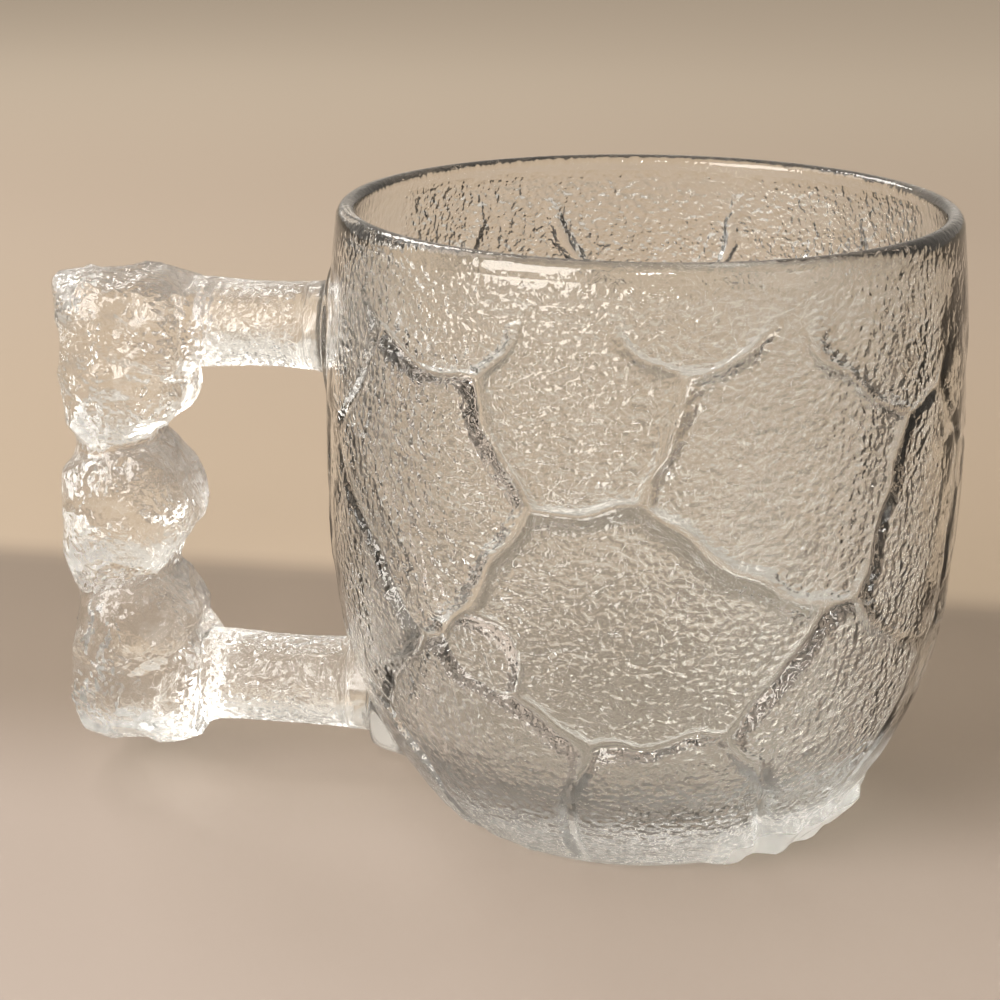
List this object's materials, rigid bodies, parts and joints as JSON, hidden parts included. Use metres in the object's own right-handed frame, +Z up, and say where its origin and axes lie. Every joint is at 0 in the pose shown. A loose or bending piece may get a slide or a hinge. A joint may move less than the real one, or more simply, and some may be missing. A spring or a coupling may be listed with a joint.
{
  "type": "glass mug",
  "caption": "Clear pressed glass mug: barrel-shaped body with a rubble-stone relief, plain rim and flat foot, with a handle of stacked rough stones on two arms.",
  "frame": {"origin": "centre of the flat foot's underside, on the axis of the mug", "axes": "+Z up along the axis of the mug, -X towards the handle"},
  "size_m": [0.1333, 0.0914, 0.09],
  "materials": {
    "body_glass": "clear pressed glass with a faint green tinge, rough orange-peel stones, smooth channels, fire-polished lip",
    "collar_glass": "clear smooth glass, fused",
    "handle_glass": "clear pressed glass, rough stone grain"
  },
  "bodies": {
    "root": {"mug_body": "body_glass", "upper_collar": "collar_glass", "lower_collar": "collar_glass", "handle": "handle_glass"}
  },
  "joints": []
}
